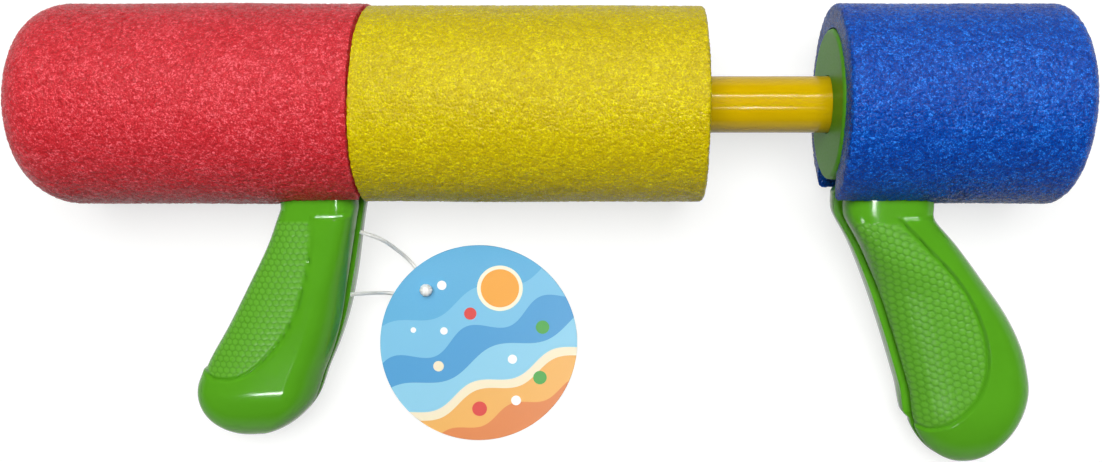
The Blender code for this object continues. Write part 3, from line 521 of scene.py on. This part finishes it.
def gripHalfMesh(name, grip, side):
    # rows run from the neck inside the foam to the tip, columns from the leading edge to the trailing edge
    foam, neck, grain = grip["foam"], grip["neck"], gripSkin["grain"]
    rows = evenly(through(grip["ribs"], 30), grain * gripSkin["rowStretch"])
    lead = np.stack([rows[:, 0], foam + rows[:, 1]], 1)
    trail = np.stack([neck + rows[:, 2], foam + rows[:, 3]], 1)
    high = np.linspace(gripSkin["neckTop"], foam + gripSkin["neckEnd"], gripSkin["neckRows"])
    lead = np.concatenate([np.stack([0 * high, high], 1), lead])
    trail = np.concatenate([np.stack([0 * high + neck, high], 1), trail])
    centre, half = (lead + trail) / 2, (trail - lead) / 2
    reach = np.array([grip["tip"][0], foam + grip["tip"][1]]) - centre[-1]
    domeSteps = round(np.linalg.norm(reach) * gripSkin["tipDense"] / grain)
    dome = pi / 2 * np.arange(1, domeSteps + 1) / domeSteps
    swell = np.concatenate([np.ones(len(centre)), np.cos(dome)])
    centre = np.concatenate([centre, centre[-1] + np.sin(dome)[:, None] * reach])
    half = np.concatenate([half, np.cos(dome)[:, None] ** grip["tipPoint"] * half[-1]])
    joint = len(centre) - domeSteps
    ease = gripSkin["easeRows"]
    blend = np.exp(-((np.arange(len(centre)) - joint) / ease) ** 2)[:, None]
    window = np.hanning(2 * ease + 1)
    window /= window.sum()
    for line in (centre, half):
        padded = np.concatenate([line[:1].repeat(ease, 0), line, 2 * line[-1:] - line[-ease - 1:-1][::-1]])
        smooth = np.stack([np.convolve(padded[:, k], window, "valid") for k in (0, 1)], 1)
        line += blend * (smooth - line)
    fall = centre[:, 1] - foam
    starts, run = gripSkin["neckEase"]
    nearNeck = 1 - easeIn((fall - starts) / run)
    if side < 0:
        squares, crest = (grip["leadSquare"], grip["trailSquare"]), grip["crest"]
    else:
        starts, run = grip["lowRound"]
        lower = grip["lowSquare"] + (grip["lowTip"] - grip["lowSquare"]) * easeIn((fall - starts) / run)
        squares, crest = (lower, lower), 0
    neckSquare = grip["neckSquare"]
    leadSquare, trailSquare = ((square + (neckSquare - square) * nearNeck)[:, None] for square in squares)

    table = np.linspace(0, pi, 4001)
    square, top, halfWide = gripSkin["typical"]
    wide, thick = sectionPoint(table, square, square, top)
    steps = np.hypot(np.diff(wide) * halfWide, np.diff(thick) * grip["halfThick"])
    span = np.concatenate([[0], np.cumsum(steps)])
    columns = round(span[-1] / grain)
    angles = np.interp(np.linspace(0, span[-1], columns + 1), span, table)
    wide, thick = sectionPoint(angles[None, :], leadSquare, trailSquare, crest * (1 - nearNeck)[:, None])
    gap = gripSkin["split"] / 2
    x = grip["neckX"] + centre[:, :1] - half[:, :1] * wide
    drop = centre[:, 1:] - half[:, 1:] * wide
    if side > 0:
        ends, run = grip["lipEnd"]
        lipStart, lipRun = gripSkin["lipStart"]
        lip = easeIn((drop - lipStart) / lipRun) * (1 - easeIn((drop - foam - ends) / run))
        x = x + lip * (grip["lowLip"][1] * (1 - wide) / 2 - grip["lowLip"][0] * (1 + wide) / 2)
    y = gap + (grip["halfThick"] - gripSkin["shy"] - gap) * swell[:, None] * thick
    skin = np.stack([x, y, -drop], -1)

    down = np.gradient(skin, axis=0)
    over = np.gradient(skin, axis=1)
    normal = np.cross(over, down)
    normal[:, 0, 1] = 0
    normal[:, -1, 1] = 0
    normal[-1] = normal[-2]
    normal /= np.maximum(np.linalg.norm(normal, axis=2, keepdims=True), 1e-9)
    middle = np.stack([grip["neckX"] + centre[:, 0], 0 * fall, -centre[:, 1]], -1)[:, None, :]
    outward = np.sign(np.sum(normal * (skin - middle), axis=2, keepdims=True))
    normal *= np.where(outward == 0, 1, outward)
    between = np.linalg.norm(np.diff(skin, axis=1), axis=2)
    fromSeam = np.concatenate([np.zeros((len(x), 1)), np.cumsum(between, 1)], 1)
    fromSeam = np.minimum(fromSeam, fromSeam[:, -1:] - fromSeam)
    lift, marks = gripRelief(grip, x, drop, normal[:, :, 1])
    deep, width = gripSkin["partingRound"]
    lift -= deep * np.exp(-(fromSeam / width) ** 2)
    if side < 0:
        leadShare = (1 + wide) / 2   # 1 at the leading edge, 0 at the trailing edge
        atLead, atTrail = grip["upperInset"]
        inset = atLead * leadShare + atTrail * (1 - leadShare)
        lift -= inset * (1 - easeIn(fromSeam / gripSkin["insetRun"]))
        step, run = gripSkin["partingStep"]
        lift -= step * (1 - easeIn(fromSeam / run))
    lift *= easeIn(swell / gripSkin["tipCalm"])[:, None]
    skin = skin + normal * lift[:, :, None]
    skin[:, :, 1] = np.maximum(skin[:, :, 1], gap) * side
    skin[-1] = skin[-1].mean(0)

    many, wideCount = skin.shape[:2]
    at = np.arange(many * wideCount).reshape(many, wideCount)
    faces = list(zip(at[:-1, :-1].ravel(), at[:-1, 1:].ravel(), at[1:, 1:].ravel(), at[1:, :-1].ravel()))
    faces += list(zip(at[:-1, 0], at[:-1, -1], at[1:, -1], at[1:, 0]))
    faces = [tuple(int(v) for v in f) for f in faces] + [tuple(int(v) for v in at[0])]
    return meshOf(name, skin.reshape(-1, 3) * mm, faces, marks)


screwFit = {
    "bore": 1.75, "sink": 3.2, "seat": 5.7, "blind": 7.3,   # mm, as the screws need
    "past": 1.0, "out": 20.0,   # mm that a cutter runs past the seam, and from the seam out of the grip
    "steps": 24,
}


def screwHoles(name, grip, side):
    # cutter for one half: sunk through holes on the far side, blind holes on the near side
    bore, past = screwFit["bore"], screwFit["past"]
    if side > 0:
        seat, sink, out = screwFit["seat"], screwFit["sink"], screwFit["out"]
        deep = [(-past, 0.0), (-past, bore), (seat, bore), (seat, sink), (out, sink), (out, 0.0)]
    else:
        blind = screwFit["blind"]
        deep = [(-past, 0.0), (-past, bore), (blind, bore), (blind, 0.0)]
    corners, faces = [], []
    for along, drop in grip["screws"]:
        ring, skin = lathe([(side * a, r) for a, r in deep], screwFit["steps"], "Y",
                           (grip["neckX"] + along, 0, -grip["foam"] - drop), closed=False)
        faces += [tuple(len(corners) + v for v in f) for f in skin]
        corners += ring
    return meshOf(name, corners, faces)


mouldSkin = {
    "flow": 14.0, "fine": 0.7,    # mm, size of the flow marks and of the fine grain
    "grooveShadeShare": 0.55,            # how strongly a pressed line takes its darker colour, a painted shade
    "drift": (-0.04, 0.05),       # how the roughness drifts over the grain
    "panelDull": 0.18,            # how much rougher the etched panel is
    "ripple": (0.25, 0.2),        # strength, and height in mm, of the flow marks
}


def mouldedPolypropylene(name, deep, pale, matt, line, roughness, gloss):
    # injection-moulded polypropylene: one even colour, a waxy gloss, faint flow marks that ripple
    # a reflection, a duller panel where the mould is etched and painted paler as a sheen, and painted shade in the
    # lines pressed into it
    made, tree, shader = startMaterial(name, roughness, ior=1.49)
    shader.inputs["Specular IOR Level"].default_value = gloss
    place = addNode(tree, "ShaderNodeTexCoord").outputs["Object"]
    flow = noiseOf(tree, place, mouldSkin["flow"], 3.0)
    fine = noiseOf(tree, place, mouldSkin["fine"], 2.0)
    paintedGrooveShade = addNode(tree, "ShaderNodeAttribute", {"attribute_name": "paintedGrooveShade"}).outputs["Fac"]
    panel = addNode(tree, "ShaderNodeAttribute", {"attribute_name": "panel"}).outputs["Fac"]
    # the panel's paler colour is a painted sheen; its extra roughness is real
    etchedSheen = mixColours(tree, panel, mixColours(tree, flow, linear(deep), linear(pale)), linear(matt))
    # the pressed lines take a darker colour: painted shade
    grooveShade = reckon(tree, "MULTIPLY", paintedGrooveShade, mouldSkin["grooveShadeShare"])
    tree.links.new(mixColours(tree, grooveShade, etchedSheen, linear(line)), shader.inputs["Base Color"])
    low, high = mouldSkin["drift"]
    rough = spread(tree, fine, roughness + low, roughness + high)
    dulled = reckon(tree, "MULTIPLY_ADD", panel, mouldSkin["panelDull"], rough)
    tree.links.new(dulled, shader.inputs["Roughness"])
    addBump(tree, shader, flow, *mouldSkin["ripple"])
    return made


tubeSkin = {
    "gloss": 0.2,
    "line": 0.8,          # mm between the lines that the die draws
    "drawn": 0.02,        # their change along the tube, as a share of that across it
    "score": (0.08, 0.012),   # strength, and depth in mm, of the lines
}


def extrudedTube(name, deep, pale, roughness):
    # extruded plastic tube: glossy, with faint lines drawn along it by the die
    made, tree, shader = startMaterial(name, roughness, ior=1.5)
    shader.inputs["Specular IOR Level"].default_value = tubeSkin["gloss"]
    place = addNode(tree, "ShaderNodeTexCoord").outputs["Object"]
    along = addNode(tree, "ShaderNodeMapping", {}, {"Vector": place, "Scale": (tubeSkin["drawn"], 1, 1)})
    lines = noiseOf(tree, along.outputs["Vector"], tubeSkin["line"], 2.0)
    tree.links.new(mixColours(tree, lines, linear(deep), linear(pale)), shader.inputs["Base Color"])
    addBump(tree, shader, lines, *tubeSkin["score"])
    return made


rodFit = {"outer": 8.5, "bore": 6.3, "edge": 0.35, "steps": 120}   # mm, with a small bevel on each end


def rodMesh():
    low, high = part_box("plunger_rod")
    length = (high.x - low.x) / mm
    edge, outer, bore = rodFit["edge"], rodFit["outer"], rodFit["bore"]
    profile = [(0, bore), (0, outer - edge), (edge, outer),
               (length - edge, outer), (length, outer - edge), (length, bore)]
    corners, faces = lathe(profile, rodFit["steps"], "X", (low.x / mm, 0, 0), closed=True)
    return meshOf("plungerRod", corners, faces)


def grainedFinish(name, deep, pale, roughness, grain, ior=1.5, metallic=0.0):
    # plain solid pieces: colour and roughness drift over a fine grain, so that no face looks flat
    made, tree, shader = startMaterial(name, roughness, ior, metallic)
    place = addNode(tree, "ShaderNodeTexCoord").outputs["Object"]
    noise = noiseOf(tree, place, grain, 3.0)
    tree.links.new(mixColours(tree, noise, linear(deep), linear(pale)), shader.inputs["Base Color"])
    tree.links.new(spread(tree, noise, roughness * 0.8, roughness * 1.2), shader.inputs["Roughness"])
    return made


tagCard = {
    "radius": 31.9, "thick": 0.6, "hole": 1.7, "holeInset": 7.6, "edgeRound": 0.12,   # mm
    "steps": 160,
    "centre": (-24.7, -74.4),     # mm in plan: along the barrel, and from its axis
    "holeTurn": 133.8, "lift": 4.0,   # degrees
    "seat": 0.3,         # mm above the floor
    "printTurn": 22.0,   # degrees
    "ground": ("#5AAEDD", "#62B4E0"),
    "faceUp": 0.3,       # how far a face looks up to be printed: 1 is straight up
    "grain": 0.5,        # mm
    "tooth": (0.2, 0.02),   # strength, and height in mm, of the board's surface
    # waves from the top down: height of its crest line, swing and length in mm, turn, colour
    "waves": [(15, 2.2, 30, 0.4, "#7CC4E8"), (4, 2.6, 26, 2.0, "#4C9FD6"), (-5, 2.4, 34, 0.9, "#8FD0EC"),
              (-13, 2.0, 28, 3.1, "#F7EBCB"), (-16, 2.0, 28, 3.1, "#F3B65E"), (-24, 1.6, 22, 1.0, "#E4884A")],
    # dots: place from the middle, radius in mm, colour
    "dots": [(13, 14, 7.4, "#FBF3DA"), (13, 14, 6.2, "#F6A93B"), (-4, 22, 1.5, "#FFFFFF"),
             (-9, 8, 1.2, "#FFFFFF"), (1, 10, 2.0, "#E0443E"), (-15, -2, 1.7, "#F7EBCB"),
             (21, -3, 2.2, "#4FA94A"), (8, -9, 1.5, "#FFFFFF"), (-8, -20, 2.4, "#E0443E"),
             (4, -22, 1.6, "#FFFFFF"), (14, -18, 2.2, "#4FA94A"), (-18, 12, 0.9, "#FFFFFF")],
}


def tagPlace():
    # where the card lies: its middle at the seat, leaning up towards its hole
    toward = Vector((cos(radians(tagCard["holeTurn"])), sin(radians(tagCard["holeTurn"])), 0))
    lean = Matrix.Rotation(radians(tagCard["lift"]), 4, Vector((toward.y, -toward.x, 0)))
    height = tagCard["radius"] * sin(radians(tagCard["lift"])) + tagCard["seat"]
    middle = Vector((tagCard["centre"][0], tagCard["centre"][1], height)) * mm
    return Matrix.Translation(Vector((0, axisPoint.y, 0)) + middle) @ lean, toward


def printedCard(name):
    # coated board with an offset print: flat bright inks under a thin gloss
    made, tree, shader = startMaterial(name, roughness=0.32, ior=1.48)
    lie = tagPlace()[0] @ Matrix.Rotation(radians(tagCard["printTurn"]), 4, "Z")
    place = addNode(tree, "ShaderNodeMapping", {"vector_type": "TEXTURE"},
                    {"Vector": addNode(tree, "ShaderNodeTexCoord").outputs["Object"],
                     "Location": lie.translation, "Rotation": lie.to_euler()}).outputs["Vector"]
    axes = addNode(tree, "ShaderNodeSeparateXYZ", {}, {"Vector": place})
    grain = noiseOf(tree, place, tagCard["grain"], 2.0)
    deep, pale = tagCard["ground"]
    ink = mixColours(tree, grain, linear(deep), linear(pale))
    for height, swing, length, phase, colour in tagCard["waves"]:
        turn = reckon(tree, "MULTIPLY_ADD", axes.outputs["X"], 2 * pi / (length * mm), phase)
        crest = reckon(tree, "MULTIPLY_ADD", reckon(tree, "SINE", turn), swing * mm, height * mm)
        ink = mixColours(tree, reckon(tree, "LESS_THAN", axes.outputs["Y"], crest), ink, linear(colour))
    for x, y, radius, colour in tagCard["dots"]:
        away = addNode(tree, "ShaderNodeVectorMath", {"operation": "DISTANCE"},
                       {0: place, 1: (x * mm, y * mm, tagCard["thick"] * mm)}).outputs["Value"]
        ink = mixColours(tree, reckon(tree, "LESS_THAN", away, radius * mm), ink, linear(colour))
    tree.links.new(ink, shader.inputs["Base Color"])
    addBump(tree, shader, grain, *tagCard["tooth"])
    return made


# the third colour of each foam is its pale end, painted as glints on the palest specks
redFoam = extrudedPolyethyleneFoam("red extruded polyethylene foam", "#B4171E", "#DA313B", "#FC6B76")
yellowFoam = extrudedPolyethyleneFoam("yellow extruded polyethylene foam", "#BCA200", "#D7C200", "#F6EA08")
blueFoam = extrudedPolyethyleneFoam("blue extruded polyethylene foam", "#002A7E", "#004DBA", "#2C8CF8")
# two flow-mark greens, the panel's paler green painted as a sheen, and the darker green painted as shade in the
# pressed lines
greens = "#549F1B", "#5CAB22", "#66B030", "#3F8410"
greenMoulded = mouldedPolypropylene("green moulded polypropylene", *greens, roughness=0.12, gloss=0.2)
satinMoulded = mouldedPolypropylene("green moulded polypropylene, satin", *greens, roughness=0.42, gloss=0.1)
yellowTube = extrudedTube("yellow extruded tube", "#CFA900", "#D6B104", 0.08)
paleTube = extrudedTube("natural extruded tube", "#DDDFDA", "#E8EAE6", 0.3)
blackRubber = grainedFinish("black moulded rubber", "#161616", "#242424", 0.6, 0.8)
platedSteel = grainedFinish("zinc plated steel", "#A8AAAD", "#C6C7C9", 0.3, 0.6, 1.5, 1.0)
whiteNylon = grainedFinish("white moulded nylon", "#EFEFED", "#FAFAF8", 0.35, 1.5, 1.53)
plainBoard = grainedFinish("white uncoated board", "#E4E2DC", "#F0EEE9", 0.7, 0.4)
tagPrint = printedCard("printed coated board")
print("materials made")

loopCord = {
    "length": 67.8, "diameter": 1.2,   # mm
    "endDrops": (9.0, 28.8),   # mm below the foam where its ends meet the front grip's back seam
    "seat": 0.3,               # mm between an end and the seam
    "step": 0.8,               # mm between the curve's points
    # the way under the tag: plan place from the barrel's axis and height above the floor, in mm
    "route": [(-53.8, -40.5, 17.8), (-50.3, -43.8, 10.2), (-47.3, -47.3, 4.7), (-44.2, -51.5, 2.8),
              (-41.7, -55.5, 2.5), (-41.5, -58.5, 2.4), (-44.0, -60.2, 2.4), (-48.0, -59.5, 2.4),
              (-52.2, -58.4, 3.0), (-55.6, -57.9, 6.8), (-58.2, -57.7, 12.2)],
}


def makeLoop():
    rows = through(frontGrip["ribs"], 2)
    out = layDown.to_3x3() @ Vector((0, 0, -1))
    ends = []
    for drop in loopCord["endDrops"]:
        edge = np.interp(drop, rows[:, 3], rows[:, 2])
        x = frontGrip["neckX"] + frontGrip["neck"] + edge + loopCord["diameter"] / 2 + loopCord["seat"]
        ends.append(Vector((x * mm, 0, 0)) + axisPoint + out * (frontGrip["foam"] + drop) * mm)
    plan = [Vector((x * mm, axisPoint.y + y * mm, z * mm)) for x, y, z in loopCord["route"]]
    points = evenly(through([ends[0]] + plan + [ends[1]], 12), loopCord["step"] * mm)
    curve = bpy.data.curves.new("tagLoop", "CURVE")
    curve.dimensions = "3D"
    curve.bevel_depth = loopCord["diameter"] / 2 * mm
    curve.bevel_resolution = 4
    curve.use_fill_caps = True
    spline = curve.splines.new("POLY")
    spline.points.add(len(points) - 1)
    for spot, place in zip(spline.points, points):
        spot.co = (*place, 1.0)
    loop = addPiece("tagLoop", curve, [whiteNylon], "tag", ["tag_loop"])
    return loop, points


def makeTag():
    place, toward = tagPlace()
    hole = toward * (tagCard["radius"] - tagCard["holeInset"])
    steps, thick, edge = tagCard["steps"], tagCard["thick"], tagCard["edgeRound"]
    rings = []
    for k in range(steps):
        angle = 2 * pi * k / steps
        way = Vector((cos(angle), sin(angle), 0))
        rim = way * tagCard["radius"]
        lip = hole + way * tagCard["hole"]
        soft = way * edge
        rings.append([lip + Vector((0, 0, thick)), rim - soft + Vector((0, 0, thick)),
                      rim + Vector((0, 0, thick - edge)), rim + Vector((0, 0, edge)), rim - soft, lip])
    corners = [c * mm for ring in rings for c in ring]
    side = len(rings[0])
    faces = []
    for k in range(steps):
        n = (k + 1) % steps
        for i in range(side):
            j = (i + 1) % side
            faces.append((k * side + i, n * side + i, n * side + j, k * side + j))
    mesh = meshOf("hangTag", corners, faces)
    mesh.transform(place)
    mesh.shade_smooth()
    mesh.set_sharp_from_angle(angle=radians(30))
    tag = addPiece("hangTag", mesh, [tagPrint, plainBoard], "tag", ["hang_tag"])
    for face in mesh.polygons:
        face.material_index = 0 if face.normal.z > tagCard["faceUp"] else 1
    return tag


tagLoop, loopPoints = makeLoop()
hangTag = makeTag()
print("tag and loop made")

sleeves = {
    "redSleeve": {
        "node": "red_foam_sleeve", "body": "barrel", "slot": "red_foam", "finish": redFoam,
        "seed": 11, "radius": 30.0,
        "frontRound": (14, 13), "backRound": (0.4, 0.6),   # mm along the barrel, mm across
        "frontCut": (0, 0, 0), "backCut": (0.35, 0.45, 1.2),   # mm: wave, shift, lean
        # inner profile, from the front end or, if below 0, from the back end; radius
        "bore": [(0, 8.3), (14, 8.3), (14, 17.8), (72.3, 17.8), (72.3, 20.6), (-0.01, 20.6)],
    },
    "yellowSleeve": {
        "node": "yellow_foam_sleeve", "body": "barrel", "slot": "yellow_foam", "finish": yellowFoam,
        "seed": 12, "radius": 29.4,
        "frontRound": (0.3, 0.3), "backRound": (1.5, 1.5),
        "frontCut": (0.35, 0.45, 1.2), "backCut": (0.25, 0, 0),
        "reach": 0.28,   # mm, so that the yellow end meets the red one and no gap shows
        "bore": [(0, 17.8), (-0.01, 17.8)],
    },
    "blueSleeve": {
        "node": "blue_foam_sleeve", "body": "plunger", "slot": "blue_foam", "finish": blueFoam,
        "seed": 13, "radius": 30.0,
        "frontRound": (1.5, 1.5), "backRound": (6.5, 13),
        "frontCut": (0.2, 0, 0), "backCut": (0, 0, 0),
        "bore": [(0, 22.8), (2.8, 22.8), (2.8, 20.6), (32.05, 20.6), (32.05, 17.8), (60.35, 17.8),
                 (60.35, 11.3), (-0.01, 11.3)],
    },
}


def makeSleeves():
    slots = {"redSleeve": neckSlot("frontSlot", frontGrip, -1),
             "blueSleeve": neckSlot("rearSlot", rearGrip, 1)}
    for name, sleeve in sleeves.items():
        low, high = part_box(sleeve["node"])
        mesh = sleeveMesh(name, low, high, sleeve)
        cuts = [("DIFFERENCE", slots[name])] if name in slots else []
        mesh = reshape(mesh, cuts, sharpAngle=60)
        mesh.transform(layDown)
        made = addPiece(name, mesh, [sleeve["finish"]], sleeve["body"], [sleeve["node"]])
        print(f"{name}: {len(mesh.polygons)} faces")


def makeGrips():
    for end, grip, body in (("front", frontGrip, "barrel"), ("rear", rearGrip, "plunger")):
        for half, side in (("Left", -1), ("Right", 1)):
            name = f"{end}Grip{half}"
            mesh = gripHalfMesh(name, grip, side)
            mesh = reshape(mesh, [("DIFFERENCE", screwHoles(name + "Holes", grip, side))], sharpAngle=60)
            mesh.transform(layDown)
            addPiece(name, mesh, [greenMoulded], body, [f"{end}_grip_{half.lower()}"])
            print(f"{name}: {len(mesh.polygons)} faces")


makeSleeves()
makeGrips()

rodPiece = rodMesh()
rodPiece.transform(layDown)
addPiece("plungerRod", rodPiece, [yellowTube], "plunger", ["plunger_rod"])
print(f"plungerRod: {len(rodPiece.polygons)} faces")

finishOf = {
    "barrel_tube": paleTube, "tag_bead": whiteNylon,
    "nozzle_gasket": blackRubber, "piston_o_ring": blackRubber,
    "piston_washer": platedSteel, "piston_screw": platedSteel, "core_screw": platedSteel,
    "nozzle_insert": greenMoulded, "tail_guide": greenMoulded, "piston": greenMoulded,
    "rod_front_plug": greenMoulded, "rod_rear_plug": greenMoulded,
    "rear_core": satinMoulded, "tail_plug": greenMoulded,
}
finishOf.update({f"{end}_grip_screw_{k}": platedSteel for end in ("front", "rear") for k in (1, 2, 3)})
for name, finish in finishOf.items():
    nodes[name].data.materials.clear()
    nodes[name].data.materials.append(finish)
print("plain nodes finished")

stageSet = {
    "floor": "#989896", "floorSize": 6.0,   # m
    "floorDrop": 0.05,     # mm that the floor lies below the solids
    "floorGloss": 0.1,
    "seenWhite": 0.73,     # light that the eye sees on the floor beside what falls on it
    "sky": 0.06,           # strength of the even light from all round
    "ceiling": 0.05,       # the white backdrop darkens to this overhead, also in a reflection
    "backdrop": (0.02, 0.3),   # height in the sky where it starts and ends darkening: 1 is overhead
    "aim": (0, 0, 0.03),   # m
    # lamps: tilt from straight up towards the far side in degrees,
    # distance, length, width and place along the barrel in m, watts
    "lamps": {"softLight": (12, 1.4, 1.1, 0.7, 0.0, 23.0), "keyStrip": (29, 1.3, 1.8, 0.06, 0.1, 48.0),
              "nearLamp": (-19, 1.3, 0.07, 0.03, 0.25, 3.0), "lowLamp": (-38, 1.3, 0.2, 0.05, -0.4, 4.0)},
}


def seenRays(tree):
    # 1 for what the eye sees, straight or by a reflection, and 0 for light that falls on the object
    light = addNode(tree, "ShaderNodeLightPath")
    seen = reckon(tree, "MAXIMUM", light.outputs["Is Camera Ray"], light.outputs["Is Glossy Ray"])
    return reckon(tree, "MAXIMUM", seen, light.outputs["Is Transmission Ray"])


def makeFloor():
    mesh = bpy.data.meshes.new("floor")
    half = stageSet["floorSize"] / 2
    corners = [(-half, -half, 0), (half, -half, 0), (half, half, 0), (-half, half, 0)]
    mesh.from_pydata(corners, [], [(0, 1, 2, 3)])
    floor = bpy.data.objects.new("floor", mesh)
    floor.location.z = -stageSet["floorDrop"] * mm
    bpy.context.scene.collection.objects.link(floor)
    # matt studio paper: even and without a shine, so that only the soft shadow shows on it
    made, tree, shader = startMaterial("matt paper", roughness=0.8, ior=1.45)
    mesh.materials.append(made)
    shader.inputs["Base Color"].default_value = linear(stageSet["floor"])
    shader.inputs["Specular IOR Level"].default_value = stageSet["floorGloss"]
    share = reckon(tree, "MULTIPLY", seenRays(tree), stageSet["seenWhite"])
    glow = addNode(tree, "ShaderNodeEmission", {}, {"Color": (1, 1, 1, 1), "Strength": share})
    both = addNode(tree, "ShaderNodeAddShader", {}, {0: shader.outputs["BSDF"], 1: glow.outputs["Emission"]})
    tree.links.new(both.outputs[0], tree.nodes["Material Output"].inputs["Surface"])


def makeSky():
    world = bpy.data.worlds.new("studio")
    bpy.context.scene.world = world
    world.use_nodes = True
    tree = world.node_tree
    sky = tree.nodes["Background"]
    sky.inputs["Color"].default_value = (1, 1, 1, 1)
    place = addNode(tree, "ShaderNodeTexCoord").outputs["Generated"]
    way = addNode(tree, "ShaderNodeSeparateXYZ", {}, {"Vector": place})
    backdrop = spread(tree, way.outputs["Z"], 1.0, stageSet["ceiling"], *stageSet["backdrop"])
    level = mixValues(tree, seenRays(tree), stageSet["sky"], backdrop)
    tree.links.new(level, sky.inputs["Strength"])


def makeLamps():
    target = Vector(stageSet["aim"])
    for name, (tilt, away, length, width, along, watts) in stageSet["lamps"].items():
        lamp = bpy.data.lights.new(name, "AREA")
        lamp.shape = "RECTANGLE"
        lamp.size, lamp.size_y = length, width
        lamp.energy = watts
        holder = bpy.data.objects.new(name, lamp)
        bpy.context.scene.collection.objects.link(holder)
        angle = radians(tilt)
        holder.location = target + Vector((along, away * sin(angle), away * cos(angle)))
        holder.rotation_euler = (-angle, 0, 0)
        isStrip = name != "softLight"
        holder.visible_glossy = isStrip        # the soft light gives no glint, only an even fill
        holder.visible_diffuse = not isStrip   # the strips only glint, so they cast no long shadow


makeFloor()
makeSky()
makeLamps()
bpy.context.scene.view_settings.view_transform = "Standard"
print("stage lit")
